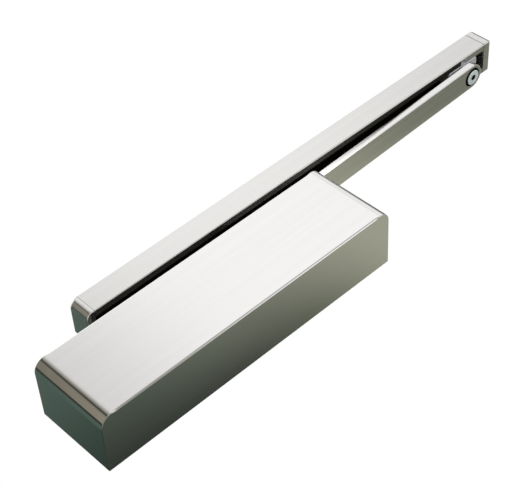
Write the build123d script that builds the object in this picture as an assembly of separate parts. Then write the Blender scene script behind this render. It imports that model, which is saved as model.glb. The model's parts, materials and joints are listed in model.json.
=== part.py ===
# Slide arm door closer: a spring and oil damped closer body for a door, a flat arm and a slide track.
# Millimetres. The origin is the centre of the door screw pattern on the back of the mounting plate.
# +X runs along the body towards the spindle's end, +Y goes into the door, +Z points up to the track.
import os
from math import asin, atan, ceil, cos, degrees, pi, radians, sin, sqrt, tan

from build123d import *

# Cover, a formed stainless steel shell that pulls off towards -Y
cover_wall = 1.2
cover_headroom = 5.8
cover_front_room = 8.0
cover_end_radius = 10.0
cover_edge_radius = 1.5
door_gap = 0.5
notch_clearance = 2.5

# Mounting plate, screwed to the door outside the housing's ends
plate_thickness = 2.5
plate_margin = 1.6
plate_ear = 17.2
plate_corner_radius = 4.0
door_screw_hole_radius = 2.75
door_screw_to_housing = 8.0
door_screw_spacing_z = 38.0

# Housing, one aluminium casting with the piston bore along X and the spindle bore along Z
housing_length = 236.0
housing_flange_thickness = 7.0
barrel_wall = 7.5
bore_radius = 14.5
bore_back_wall = 3.5
bore_front_wall = 9.0
boss_radius = 18.0
casting_radius = 3.0
valve_boss_radius = 7.0
valve_boss_height = 2.0
housing_screw_radius = 2.5
housing_screw_length = 14.0
housing_screw_inset_x = 14.0
housing_screw_inset_z = 6.0
housing_screw_head_radius = 4.9

# Spindle with its pinion
pinion_teeth = 11
gear_module = 1.5
pressure_angle = 20.0
dedendum = 1.25
rack_cut = 1.5
profile_shift = 0.36
tooth_backlash = 0.15
pinion_width = 18.0
journal_radius = 8.0
square_width = 11.0
bearing_radius = 11.0
bearing_length = 7.0
seal_length = 2.4
neck_clearance = 0.7
cap_radius = 13.5
cap_length = 6.5
cap_seat_depth = 5.0
cap_pin_hole_radius = 1.2
cap_pin_hole_depth = 2.0
lower_cap_sink = 1.5

# Piston with its rack, to the left of which the closing spring works
arm_opening = 150.0
piston_head_left = 14.5
piston_head_right = 10.5
piston_end_play = 0.6
window_gap = 1.0
piston_spigot_radius = 7.5
piston_spigot_length = 5.0
ring_width = 3.0
ring_depth = 1.7
ball_radius = 2.5
ball_seat_radius = 1.2
ball_play = 1.0
ball_lip = 0.4
ball_lip_length = 0.8

# Spring, plugs and power screw
plug_length = 12.0
plug_recess_radius = 9.0
plug_recess_depth = 2.5
seal_cord = 2.0
seal_inset = 2.0
end_plug_hex_width = 10.0
end_plug_hex_depth = 5.0
wire_radius = 2.2
spring_mean_radius = 10.8
spring_turns = 10
wire_sides = 8
power_screw_radius = 4.0
power_collar_radius = 6.0
power_collar_length = 2.0
power_screw_reach = 28.0
power_hex_width = 5.0
spring_seat_length = 8.0
spring_seat_start = 5.0

# Speed valves, in the front wall of the housing
valve_radius = 2.6
valve_head_radius = 4.0
valve_head_length = 2.6
valve_length = 9.0
valve_hex_width = 2.5
valve_hex_depth = 2.0
valve_sink = 0.3
valve_point_length = 2.0
valve_point_radius = 0.8
closing_valve_x = -30.0
latching_valve_x = 8.0

# Cover clips
clip_thickness = 0.8
clip_width = 14.0
clip_height = 16.0
clip_foot = 10.0
clip_inset = 1.0
clip_bend = 2.0
clip_lead_in = 2.5
clip_straight = 11.0
rivet_radius = 1.6
rivet_head_radius = 2.8
rivet_head_length = 0.9

# Arm
arm_width = 22.3
arm_thickness = 6.0
arm_gap = 4.5
arm_hub_drop = 2.5
arm_reach = 263.5
arm_edge_radius = 0.5
arm_screw_radius = 3.0
arm_screw_length = 16.0
arm_screw_head_radius = 8.3
arm_screw_head_length = 2.0
arm_screw_sink = 0.2
arm_screw_head_gap = 0.3
arm_screw_hex_width = 4.0

# Pivot at the arm's end
pivot_y = -30.2
head_recess_radius = 8.4
head_recess_depth = 3.0
pivot_head_radius = 6.7
pivot_head_length = 4.2
pivot_hex_width = 5.0
pivot_shoulder_radius = 4.0
bush_wall = 1.0
bush_flange_radius = 8.0

# Slide block, running in the track
block_length = 35.0
block_offset = 2.0
block_clearance = 0.5
block_collar = 0.3
block_head_height = 7.0
block_head_clearance = 1.1
block_corner_radius = 4.0
insert_radius = 5.5
pivot_thread_length = 9.0
slot_side_gap = 0.3

# Track
track_gap = 3.4
track_end_to_pivot = 33.2
track_length = 440.0
track_depth = 30.2
track_height = 20.8
track_wall = 2.0
slot_width = 18.4
track_edge_radius = 0.8
track_hole_radius = 2.75
track_hole_spacing = 300.0
end_cap_length = 8.0
end_cap_left_radius = 5.5
end_cap_right_radius = 1.2
end_cap_top_radius = 3.0
end_cap_tongue = 7.0
end_cap_wall = 2.2

# Fits
running_gap = 0.05
fixed_gap = 0.02
thread_gap = 0.05
hex_depth = 2.6
key_depth = 1.5
hole_excess = 1.0

# Places worked out from the sizes above
plate_front = -plate_thickness
plate_length = housing_length + 2 * plate_ear
cover_length = plate_length + 2 * (plate_margin + cover_wall)
cover_inside_end = cover_length / 2 - cover_wall
door_screw_spacing_x = housing_length + 2 * door_screw_to_housing
axis_y = plate_front - bore_back_wall - bore_radius
housing_front = axis_y - bore_radius - bore_front_wall
cover_depth = -housing_front + cover_front_room + cover_wall
housing_end = housing_length / 2
plug_inner = housing_end - plug_length
pitch_radius = gear_module * pinion_teeth / 2
tip_radius = pitch_radius + gear_module * (1 + profile_shift)
root_radius = pitch_radius - gear_module * (dedendum - profile_shift)
tooth_pitch = pi * gear_module
rack_line = pitch_radius + gear_module * profile_shift
rack_tip = rack_line - gear_module
rack_root = rack_line + dedendum * gear_module
stroke = pitch_radius * radians(arm_opening)
piston_right = plug_inner - piston_end_play
window_right = piston_right - piston_head_right
spindle_x = window_right - window_gap - tip_radius - stroke
window_left = spindle_x - tip_radius - window_gap
piston_left = window_left - piston_head_left
bearing_start = bore_radius + 2 * running_gap
seal_start_z = bearing_start + bearing_length
cap_bottom = seal_start_z + seal_length
boss_top = cap_bottom + cap_seat_depth
housing_height = 2 * boss_top
cover_height = housing_height + 2 * (cover_headroom + cover_wall)
plate_height = cover_height - 2 * (cover_wall + plate_margin)
cap_top = cap_bottom + cap_length
seat_left = -plug_inner + spring_seat_start
seat_right = seat_left + spring_seat_length
arm_bottom = cover_height / 2 + arm_gap
arm_top = arm_bottom + arm_thickness
track_bottom = arm_top + track_gap
track_top = track_bottom + track_height
lip_top = track_bottom + track_wall
arm_drop = axis_y - pivot_y
pivot_x = spindle_x + sqrt(arm_reach ** 2 - arm_drop ** 2)
track_right = pivot_x + track_end_to_pivot
track_left = track_right - track_length
block_bottom = track_bottom - block_clearance
screw_seat = arm_top - arm_screw_sink - arm_screw_head_length
track_middle = (track_left + track_right) / 2


def rod(radius, start, length, at=(0, 0), along=Axis.X):
    """A cylinder from start, length long, whose axis runs along X, Y or Z through the point at."""
    planes = {"X": Plane.YZ, "Y": Plane.XZ, "Z": Plane.XY}
    name = "X" if along == Axis.X else "Y" if along == Axis.Y else "Z"
    solid = extrude(planes[name] * Circle(radius), length if name != "Y" else -length)
    if name == "X":
        return Pos(start, at[0], at[1]) * solid
    if name == "Y":
        return Pos(at[0], start, at[1]) * solid
    return Pos(at[0], at[1], start) * solid


def block(x, y, z):
    """A box between two limits on each axis."""
    size = (x[1] - x[0], y[1] - y[0], z[1] - z[0])
    middle = ((x[0] + x[1]) / 2, (y[0] + y[1]) / 2, (z[0] + z[1]) / 2)
    return Pos(*middle) * Box(*size)


def hexagon(width, start, length, at, along):
    """A hexagon bar, width across its flats, for a key's socket."""
    bar = extrude(RegularPolygon(width / 2, 6, major_radius=False), length)
    turn = {"X": Rot(0, 90, 0), "Y": Rot(-90, 0, 0), "Z": Rot(0, 0, 0)}
    if along == "X":
        return Pos(start, at[0], at[1]) * turn[along] * bar
    if along == "Y":
        return Pos(at[0], start, at[1]) * turn[along] * bar
    return Pos(at[0], at[1], start) * turn[along] * bar


def rounded_plate(length, height, thickness, radius):
    """A flat plate in the XZ plane, its back on Y = 0."""
    return extrude(Plane.XZ * RectangleRounded(length, height, radius), thickness)


def four_places(spacing_x, spacing_z):
    return [(x * spacing_x / 2, z * spacing_z / 2) for x in (-1, 1) for z in (-1, 1)]


def housing_screw_places():
    return four_places(housing_length - 2 * housing_screw_inset_x, housing_height - 2 * housing_screw_inset_z)


def one(shape):
    """The single solid of a shape."""
    return shape.solids()[0]


def make_mounting_plate():
    plate = rounded_plate(plate_length, plate_height, plate_thickness, plate_corner_radius)
    for x, z in four_places(door_screw_spacing_x, door_screw_spacing_z):
        plate -= rod(door_screw_hole_radius, -plate_thickness, plate_thickness, (x, z), Axis.Y)
    for x, z in housing_screw_places():
        plate -= screw_head(x, z, fixed_gap)
        plate -= rod(housing_screw_radius + fixed_gap, -plate_thickness, plate_thickness, (x, z), Axis.Y)
    for side in (-1, 1):
        plate -= rod(rivet_radius + fixed_gap, -plate_thickness, plate_thickness,
                     (side * rivet_x(), 0), Axis.Y)
    return one(plate)


def screw_head(x, z, gap=0.0):
    """The countersunk head of a housing screw, flush with the plate's back."""
    depth = housing_screw_head_radius - housing_screw_radius
    top = (Align.CENTER, Align.CENTER, Align.MAX)
    cone = Cone(housing_screw_radius + gap, housing_screw_head_radius + gap, depth, align=top)
    return Pos(x, 0, z) * Rot(-90, 0, 0) * cone


def make_housing_screws():
    screws = []
    for x, z in housing_screw_places():
        shank = rod(housing_screw_radius, -housing_screw_length, housing_screw_length, (x, z), Axis.Y)
        screw = screw_head(x, z) + shank
        screws.append(one(screw - hexagon(housing_screw_radius, -key_depth, key_depth, (x, z), "Y")))
    return Compound(screws)


def make_housing():
    barrel_half = bore_radius + barrel_wall
    flange = rounded_plate(housing_length, housing_height, housing_flange_thickness, casting_radius)
    flange = Pos(0, plate_front, 0) * flange
    barrel = block((-housing_end, housing_end), (housing_front, plate_front), (-barrel_half, barrel_half))
    front_edges = barrel.edges().filter_by(Axis.X).group_by(Axis.Y)[0]
    barrel = fillet(front_edges, 2 * casting_radius)
    boss = rod(boss_radius, -boss_top, housing_height, (spindle_x, axis_y), Axis.Z)
    body = flange + barrel + boss
    for x in (closing_valve_x, latching_valve_x):
        body += rod(valve_boss_radius, housing_front - valve_boss_height, bore_front_wall / 2, (x, 0), Axis.Y)
    body -= rod(bore_radius, -housing_end, housing_length, (axis_y, 0), Axis.X)
    body -= rod(bearing_radius, -boss_top, housing_height, (spindle_x, axis_y), Axis.Z)
    for start in (cap_bottom, -boss_top):
        body -= rod(cap_radius, start, cap_seat_depth, (spindle_x, axis_y), Axis.Z)
    for x, z in housing_screw_places():
        depth = housing_screw_length + hole_excess
        body -= rod(housing_screw_radius + fixed_gap, -depth, depth, (x, z), Axis.Y)
    for x in (closing_valve_x, latching_valve_x):
        face = housing_front - valve_boss_height
        body -= rod(valve_radius + running_gap, face, valve_length + hole_excess, (x, 0), Axis.Y)
        body -= rod(valve_head_radius + running_gap, face, valve_head_length, (x, 0), Axis.Y)
    return one(body)


def make_cover():
    half = cover_height / 2
    outer = cover_shell(cover_length, cover_height, cover_depth, cover_end_radius, cover_edge_radius)
    inner = cover_shell(cover_length - 2 * cover_wall, cover_height - 2 * cover_wall,
                        cover_depth - cover_wall,
                        cover_end_radius - cover_wall, cover_edge_radius - cover_wall)
    shell = outer - inner
    shell -= block((-cover_length, cover_length), (-door_gap, cover_wall), (-half, half))
    notch = journal_radius + notch_clearance
    shell -= rod(notch, half - 2 * cover_wall, 3 * cover_wall, (spindle_x, axis_y), Axis.Z)
    sides = (spindle_x - notch, spindle_x + notch)
    shell -= block(sides, (axis_y, cover_wall), (half - 2 * cover_wall, half + cover_wall))
    return one(shell)


def cover_shell(length, height, depth, end_radius, edge_radius):
    """A box from the door's face to the front, with round front ends and slightly round long edges."""
    solid = block((-length / 2, length / 2), (-depth, 0), (-height / 2, height / 2))
    ends = solid.edges().filter_by(Axis.Z).group_by(Axis.Y)[0]
    solid = fillet(ends, end_radius)
    rims = solid.faces().sort_by(Axis.Z)
    edges = [e for f in (rims[0], rims[-1]) for e in f.edges() if e.center().Y < -edge_radius / 2]
    return fillet(edges, edge_radius)


def rivet_x():
    return plate_length / 2 - clip_foot / 2 - clip_inset


def make_clip(side):
    foot_end = cover_inside_end - running_gap
    foot_start = plate_length / 2 - clip_foot - clip_inset
    y = plate_front
    inner = foot_end - clip_thickness
    straight = y - clip_straight
    tip = y - clip_height
    bend = clip_bend + clip_thickness / 2
    outline = Polyline((foot_start, y), (foot_end - clip_bend, y), (foot_end, y - clip_bend),
                       (foot_end, straight),
                       (foot_end - clip_lead_in, tip), (inner - clip_lead_in, tip), (inner, straight),
                       (inner, y - bend), (foot_end - bend, y - clip_thickness),
                       (foot_start, y - clip_thickness), close=True)
    clip = extrude(make_face(outline), clip_width / 2, both=True)
    clip -= rod(rivet_radius + fixed_gap, y - clip_thickness, clip_thickness, (rivet_x(), 0), Axis.Y)
    clip = one(clip)
    return clip if side > 0 else mirror(clip, Plane.YZ)


def make_rivets():
    rivets = []
    for side in (-1, 1):
        x = side * rivet_x()
        top = plate_front - clip_thickness
        rivet = rod(rivet_radius, top - rivet_head_length, -top + rivet_head_length, (x, 0), Axis.Y)
        rivet += rod(rivet_head_radius, top - rivet_head_length, rivet_head_length, (x, 0), Axis.Y)
        rivets.append(one(rivet))
    return Compound(rivets)


def flank_angle(radius, half_angle_base):
    """The angle between a tooth's middle and its involute flank at this radius."""
    base = pitch_radius * cos(radians(pressure_angle))
    roll = sqrt(max(radius / base, 1.0) ** 2 - 1)
    return half_angle_base - (roll - atan(roll))


def pinion_outline():
    """A shifted involute pinion, one tooth in the direction of +Y."""
    alpha = radians(pressure_angle)
    thickness = gear_module * (pi / 2 + 2 * profile_shift * tan(alpha)) - tooth_backlash
    half_base = thickness / (2 * pitch_radius) + tan(alpha) - alpha
    base = pitch_radius * cos(alpha)
    edges = []
    step = 2 * pi / pinion_teeth
    radii = [base + (tip_radius - base) * k / 4 for k in range(5)]

    def place(radius, angle):
        return Vector(radius * cos(angle), radius * sin(angle))

    for tooth in range(pinion_teeth):
        middle = pi / 2 + tooth * step
        right = [place(r, middle - flank_angle(r, half_base)) for r in radii]
        left = [place(r, middle + flank_angle(r, half_base)) for r in reversed(radii)]
        foot_right = place(root_radius, middle - half_base)
        foot_left = place(root_radius, middle + half_base)
        next_foot = place(root_radius, middle + step - half_base)
        edges.append(Line(foot_right, right[0]))
        edges.append(Spline(*right))
        edges.append(ThreePointArc(right[-1], place(tip_radius, middle), left[0]))
        edges.append(Spline(*left))
        edges.append(Line(left[-1], foot_left))
        edges.append(ThreePointArc(foot_left, place(root_radius, middle + step / 2), next_foot))
    return make_face(Wire(edges))


def make_spindle():
    pinion = extrude(pinion_outline(), pinion_width / 2, both=True)
    shaft = rod(root_radius - neck_clearance / 2, -bearing_start, 2 * bearing_start, along=Axis.Z)
    shaft += rod(journal_radius, bearing_start, cap_top - bearing_start, along=Axis.Z)
    shaft += rod(journal_radius, -cap_bottom + running_gap,
                 cap_bottom - running_gap - bearing_start, along=Axis.Z)
    across = (-square_width / 2, square_width / 2)
    square = block(across, across, (cap_top, screw_seat - arm_screw_sink))
    solid = pinion + shaft + square
    depth = arm_screw_length + hole_excess
    solid -= rod(arm_screw_radius + fixed_gap, arm_top - depth, depth, along=Axis.Z)
    return one(Pos(spindle_x, axis_y, 0) * solid)


def ring(outer, inner, start, length):
    """A ring round the spindle's axis."""
    tube = rod(outer, start, length, along=Axis.Z) - rod(inner, start, length, along=Axis.Z)
    return one(Pos(spindle_x, axis_y, 0) * tube)


def make_bearing(start):
    return ring(bearing_radius - fixed_gap, journal_radius + running_gap, start, bearing_length)


def make_spindle_seals():
    rings = []
    for start in (seal_start_z, -cap_bottom):
        rings.append(ring(bearing_radius - fixed_gap, journal_radius + running_gap, start, seal_length))
    return Compound(rings)


def pin_holes(start, length):
    holes = None
    middle = (cap_radius + journal_radius) / 2
    for side in (-1, 1):
        hole = rod(cap_pin_hole_radius, start, length, (spindle_x + side * middle, axis_y), Axis.Z)
        holes = hole if holes is None else holes + hole
    return holes


def make_upper_cap():
    cap = ring(cap_radius - thread_gap, journal_radius + running_gap, cap_bottom, cap_length)
    return one(cap - pin_holes(cap_top - cap_pin_hole_depth, cap_pin_hole_depth))


def make_lower_cap():
    start = -cap_top + lower_cap_sink
    cap = rod(cap_radius - thread_gap, start, cap_length - lower_cap_sink, (spindle_x, axis_y), Axis.Z)
    return one(cap - pin_holes(start, cap_pin_hole_depth))


def make_piston():
    outer = bore_radius - running_gap
    length = piston_right - piston_left
    body = rod(outer, piston_left, length, (axis_y, 0), Axis.X)
    window_front = axis_y - tip_radius - window_gap / 2
    body -= block((window_left, window_right), (window_front, axis_y + rack_tip), (-bore_radius, bore_radius))
    spaces = ceil((stroke + tip_radius) / tooth_pitch)
    for count in range(-1, spaces):
        body -= rack_space(spindle_x + count * tooth_pitch)
    body += rod(piston_spigot_radius, piston_left - piston_spigot_length, piston_spigot_length,
                (axis_y, 0), Axis.X)
    groove = rod(bore_radius, ring_start(), ring_width, (axis_y, 0), Axis.X)
    body -= groove - rod(outer - ring_depth, ring_start(), ring_width, (axis_y, 0), Axis.X)
    body -= rod(ball_seat_radius, window_right, piston_head_right, (axis_y, 0), Axis.X)
    chamber = ball_chamber_start()
    body -= rod(ball_radius + 2 * running_gap, chamber, 2 * ball_radius + ball_play, (axis_y, 0), Axis.X)
    body -= rod(ball_radius - ball_lip, chamber, piston_right - chamber, (axis_y, 0), Axis.X)
    return one(body)


def ball_chamber_start():
    return piston_right - 2 * ball_radius - ball_play - ball_lip_length


def ring_start():
    return piston_right - 2 * ring_width


def rack_space(x):
    """The space between two rack teeth, a trapezium in plan that is cut through the piston."""
    slope = tan(radians(pressure_angle))
    half = tooth_pitch / 4
    root = half - dedendum * gear_module * slope
    mouth = half + rack_cut * gear_module * slope
    low = axis_y + rack_line - rack_cut * gear_module
    high = axis_y + rack_root
    outline = Polyline((x - mouth, low), (x + mouth, low), (x + root, high), (x - root, high), close=True)
    return extrude(make_face(outline), bore_radius, both=True)


def make_piston_seal():
    start = ring_start() + fixed_gap
    width = ring_width - 2 * fixed_gap
    outer = rod(bore_radius - running_gap / 2, start, width, (axis_y, 0), Axis.X)
    return one(outer - rod(bore_radius - running_gap - ring_depth + fixed_gap, start, width,
                           (axis_y, 0), Axis.X))


def make_check_ball():
    seat = sqrt(ball_radius ** 2 - ball_seat_radius ** 2)
    return Pos(ball_chamber_start() + seat + running_gap, axis_y, 0) * Sphere(ball_radius)


def plug(side):
    """A threaded plug at one end of the bore, side -1 on the left and 1 on the right."""
    start = -housing_end if side < 0 else plug_inner
    body = rod(bore_radius - thread_gap, start, plug_length, (axis_y, 0), Axis.X)
    groove_start = seal_start(side)
    groove = rod(bore_radius, groove_start, seal_cord, (axis_y, 0), Axis.X)
    return body - (groove - rod(bore_radius - seal_cord, groove_start, seal_cord, (axis_y, 0), Axis.X))


def seal_start(side):
    return side * (plug_inner + seal_inset) - (seal_cord if side < 0 else 0)


def make_plug_seals():
    seals = []
    for side in (-1, 1):
        start = seal_start(side) + fixed_gap
        width = seal_cord - 2 * fixed_gap
        outer = rod(bore_radius - fixed_gap, start, width, (axis_y, 0), Axis.X)
        seals.append(one(outer - rod(bore_radius - seal_cord + fixed_gap, start, width, (axis_y, 0), Axis.X)))
    return Compound(seals)


def make_end_plug():
    body = plug(1)
    start = housing_end - end_plug_hex_depth
    body -= hexagon(end_plug_hex_width, start, end_plug_hex_depth, (axis_y, 0), "X")
    return one(body)


def make_spring_plug():
    body = plug(-1)
    body -= rod(power_screw_radius + running_gap, -housing_end, plug_length, (axis_y, 0), Axis.X)
    body -= rod(plug_recess_radius, -housing_end, plug_recess_depth, (axis_y, 0), Axis.X)
    return one(body)


def make_power_screw():
    """Captive between its two collars, it turns in the plug and moves the spring seat like a nut."""
    head_end = -housing_end + plug_recess_depth - running_gap
    head = rod(power_collar_radius, head_end - power_collar_length, power_collar_length, (axis_y, 0), Axis.X)
    shank = rod(power_screw_radius, head_end, -plug_inner + power_screw_reach - head_end, (axis_y, 0), Axis.X)
    collar = rod(power_collar_radius, -plug_inner + running_gap, power_collar_length, (axis_y, 0), Axis.X)
    body = head + shank + collar
    return one(body - hexagon(power_hex_width, head_end - power_collar_length, hex_depth, (axis_y, 0), "X"))


def make_spring_seat():
    body = rod(bore_radius - 2 * running_gap, seat_left, spring_seat_length / 2, (axis_y, 0), Axis.X)
    body += rod(piston_spigot_radius, seat_left, spring_seat_length, (axis_y, 0), Axis.X)
    return one(body - rod(power_screw_radius + running_gap, seat_left, spring_seat_length,
                          (axis_y, 0), Axis.X))


def make_spring():
    """A compression spring between the seat's flange and the piston's left face."""
    start = seat_left + spring_seat_length / 2 + wire_radius + running_gap
    length = piston_left - wire_radius - running_gap - start
    path = Helix(length / spring_turns, length, spring_mean_radius)
    profile = Plane(path @ 0, z_dir=path % 0) * RegularPolygon(wire_radius, wire_sides)
    coil = sweep(profile, path=path, is_frenet=True)
    return one(Pos(start, axis_y, 0) * Rot(0, 90, 0) * coil)


def make_valve(x):
    """A needle valve with its socket head flush in the housing's front boss."""
    face = housing_front - valve_boss_height
    head_face = face + valve_sink
    seat = face + valve_head_length - running_gap
    tip = face + valve_length
    point_start = tip - valve_point_length
    body = rod(valve_head_radius, head_face, seat - head_face, (x, 0), Axis.Y)
    body += rod(valve_radius, head_face, point_start - head_face, (x, 0), Axis.Y)
    base = (Align.CENTER, Align.CENTER, Align.MIN)
    point = Cone(valve_radius, valve_point_radius, valve_point_length, align=base)
    body += Pos(x, point_start, 0) * Rot(-90, 0, 0) * point
    return one(body - hexagon(valve_hex_width, head_face, valve_hex_depth, (x, 0), "Y"))


def arm_frame():
    """The arm's own line in plan, turned so that its far end meets the pivot."""
    turn = degrees(-asin(arm_drop / arm_reach))
    return Pos(spindle_x, axis_y, 0) * Rot(0, 0, turn)


def make_arm():
    half = arm_width / 2
    bar = Pos(arm_reach / 2, 0, arm_bottom) * extrude(SlotCenterToCenter(arm_reach, arm_width), arm_thickness)
    bar = chamfer(bar.faces().sort_by(Axis.Z)[0].edges(), arm_edge_radius)
    bar = chamfer(bar.faces().sort_by(Axis.Z)[-1].edges(), arm_edge_radius)
    hub = rod(half, arm_bottom - arm_hub_drop, arm_hub_drop + arm_edge_radius, along=Axis.Z)
    body = arm_frame() * (bar + hub)
    side = square_width / 2 + fixed_gap
    body -= Pos(spindle_x, axis_y, 0) * block((-side, side), (-side, side), (0, arm_top + arm_thickness))
    body -= rod(arm_screw_head_radius + arm_screw_head_gap, screw_seat, arm_thickness,
                (spindle_x, axis_y), Axis.Z)
    body -= rod(pivot_shoulder_radius + running_gap + bush_wall, arm_bottom, arm_thickness,
                (pivot_x, pivot_y), Axis.Z)
    body -= rod(head_recess_radius, arm_bottom, head_recess_depth, (pivot_x, pivot_y), Axis.Z)
    return one(body)


def make_arm_screw():
    place = (spindle_x, axis_y)
    head = rod(arm_screw_head_radius, screw_seat, arm_screw_head_length, place, Axis.Z)
    body = head + rod(arm_screw_radius, arm_top - arm_screw_length,
                      arm_screw_length - arm_screw_sink, place, Axis.Z)
    return one(body - hexagon(arm_screw_hex_width, screw_seat, arm_screw_head_length, place, "Z"))


def make_pivot_bush():
    """A flanged plain bush, pressed into the arm, that the slide block's screw turns in."""
    inner = pivot_shoulder_radius + running_gap
    start = arm_bottom + head_recess_depth
    body = rod(inner + bush_wall - fixed_gap, start, arm_top - start, (pivot_x, pivot_y), Axis.Z)
    flange = block_bottom - arm_top - 2 * running_gap
    body += rod(bush_flange_radius, arm_top, flange, (pivot_x, pivot_y), Axis.Z)
    return one(body - rod(inner, start, arm_thickness + track_gap, (pivot_x, pivot_y), Axis.Z))


def make_pivot_screw():
    head_top = arm_bottom + head_recess_depth - running_gap
    thread_end = block_bottom + pivot_thread_length
    body = rod(pivot_head_radius, head_top - pivot_head_length, pivot_head_length, (pivot_x, pivot_y), Axis.Z)
    body = chamfer(body.faces().sort_by(Axis.Z)[0].edges(), arm_edge_radius)
    body += rod(pivot_shoulder_radius, head_top, thread_end - head_top, (pivot_x, pivot_y), Axis.Z)
    return one(body - hexagon(pivot_hex_width, head_top - pivot_head_length, hex_depth,
                              (pivot_x, pivot_y), "Z"))


def make_slide_block():
    """A neck between the track's lips and a wider head that runs on their upper faces."""
    neck_width = slot_width - 2 * slot_side_gap
    head_width = track_depth - 2 * (track_wall + block_head_clearance)
    head_bottom = lip_top + block_collar
    neck = extrude(RectangleRounded(block_length, neck_width, block_corner_radius / 2),
                   head_bottom - block_bottom)
    head = extrude(RectangleRounded(block_length, head_width, block_corner_radius), block_head_height)
    middle_x = pivot_x - block_offset
    body = Pos(middle_x, pivot_y, block_bottom) * neck + Pos(middle_x, pivot_y, head_bottom) * head
    length = pivot_thread_length + hole_excess
    return one(body - rod(insert_radius + fixed_gap, block_bottom, length, (pivot_x, pivot_y), Axis.Z))


def make_pivot_insert():
    outer = rod(insert_radius, block_bottom, pivot_thread_length + hole_excess, (pivot_x, pivot_y), Axis.Z)
    inner = rod(pivot_shoulder_radius + fixed_gap, block_bottom, pivot_thread_length,
                (pivot_x, pivot_y), Axis.Z)
    return one(outer - inner)


def make_track():
    """A C-shaped channel, open below in a slot between two lips."""
    outer = track_section(track_depth, track_height, track_edge_radius)
    hollow = track_section(track_depth - 2 * track_wall, track_height - 2 * track_wall)
    slot = Plane.YZ * Pos(pivot_y, track_bottom + track_wall / 2) * Rectangle(slot_width, 2 * track_wall)
    channel = Pos(track_left + end_cap_length, 0, 0) * extrude(outer - hollow - slot,
                                                               track_length - 2 * end_cap_length)
    for side in (-1, 1):
        x = track_middle + side * track_hole_spacing / 2
        channel -= rod(track_hole_radius, track_top - track_wall, track_wall, (x, pivot_y), Axis.Z)
    return one(channel)


def track_section(width, height, radius=0.0):
    """A rectangle across the track, centred on its axis."""
    flat = RectangleRounded(width, height, radius) if radius else Rectangle(width, height)
    return Plane.YZ * Pos(pivot_y, (track_bottom + track_top) / 2) * flat


def end_view(back):
    """The cap seen from the front: a rectangle with its outer top corner rounded, carried back."""
    radius = end_cap_top_radius
    outline = Wire([
        Line((0, track_bottom), (end_cap_length, track_bottom)),
        Line((end_cap_length, track_bottom), (end_cap_length, track_top - radius)),
        RadiusArc((end_cap_length, track_top - radius), (end_cap_length - radius, track_top), -radius),
        Line((end_cap_length - radius, track_top), (0, track_top)),
        Line((0, track_top), (0, track_bottom)),
    ])
    return Plane.XZ.offset(-back) * extrude(make_face(outline), track_depth)


def make_end_cap(side):
    """A moulded cap: its face closes the profile and its tongue fills the channel's hollow."""
    front = pivot_y - track_depth / 2
    back = pivot_y + track_depth / 2
    radius = end_cap_right_radius if side > 0 else end_cap_left_radius
    tip = end_cap_length - radius
    plan = make_face(Wire([
        Line((0, front), (tip, front)),
        RadiusArc((tip, front), (end_cap_length, front + radius), -radius),
        Line((end_cap_length, front + radius), (end_cap_length, back)),
        Line((end_cap_length, back), (0, back)),
        Line((0, back), (0, front)),
    ]))
    face = Pos(0, 0, track_bottom) * extrude(plan, track_height)
    face &= extrude(track_section(track_depth, track_height, track_edge_radius), end_cap_length)
    face &= end_view(back)
    gap = 2 * (track_wall + 2 * running_gap)
    tongue = extrude(track_section(track_depth - gap, track_height - gap), -end_cap_tongue)
    core = 2 * (track_wall + end_cap_wall)
    tongue -= extrude(track_section(track_depth - core, track_height - core), -end_cap_tongue)
    half = slot_width / 2
    tongue -= block((-end_cap_tongue, 0), (pivot_y - half, pivot_y + half),
                    (track_bottom, track_bottom + track_height / 2))
    cap = one(face + tongue)
    if side > 0:
        return Pos(track_right - end_cap_length, 0, 0) * cap
    return Pos(track_left + end_cap_length, 0, 0) * mirror(cap, Plane.YZ)


parts = {
    "mounting_plate": make_mounting_plate(),
    "housing_screws": make_housing_screws(),
    "housing": make_housing(),
    "cover": make_cover(),
    "cover_clip_left": make_clip(-1),
    "cover_clip_right": make_clip(1),
    "clip_rivets": make_rivets(),
    "spindle": make_spindle(),
    "upper_bearing": make_bearing(bearing_start),
    "lower_bearing": make_bearing(-seal_start_z),
    "spindle_seals": make_spindle_seals(),
    "upper_bearing_cap": make_upper_cap(),
    "lower_bearing_cap": make_lower_cap(),
    "piston": make_piston(),
    "piston_seal": make_piston_seal(),
    "check_valve_ball": make_check_ball(),
    "spring_plug": make_spring_plug(),
    "end_plug": make_end_plug(),
    "plug_seals": make_plug_seals(),
    "power_screw": make_power_screw(),
    "spring_seat": make_spring_seat(),
    "closing_spring": make_spring(),
    "closing_valve": make_valve(closing_valve_x),
    "latching_valve": make_valve(latching_valve_x),
    "arm": make_arm(),
    "arm_screw": make_arm_screw(),
    "pivot_bush": make_pivot_bush(),
    "pivot_screw": make_pivot_screw(),
    "pivot_insert": make_pivot_insert(),
    "slide_block": make_slide_block(),
    "track": make_track(),
    "end_cap_left": make_end_cap(-1),
    "end_cap_right": make_end_cap(1),
}

os.makedirs("parts", exist_ok=True)
for name, shape in parts.items():
    shape.label = name
    export_step(shape, f"parts/{name}.step")
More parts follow.
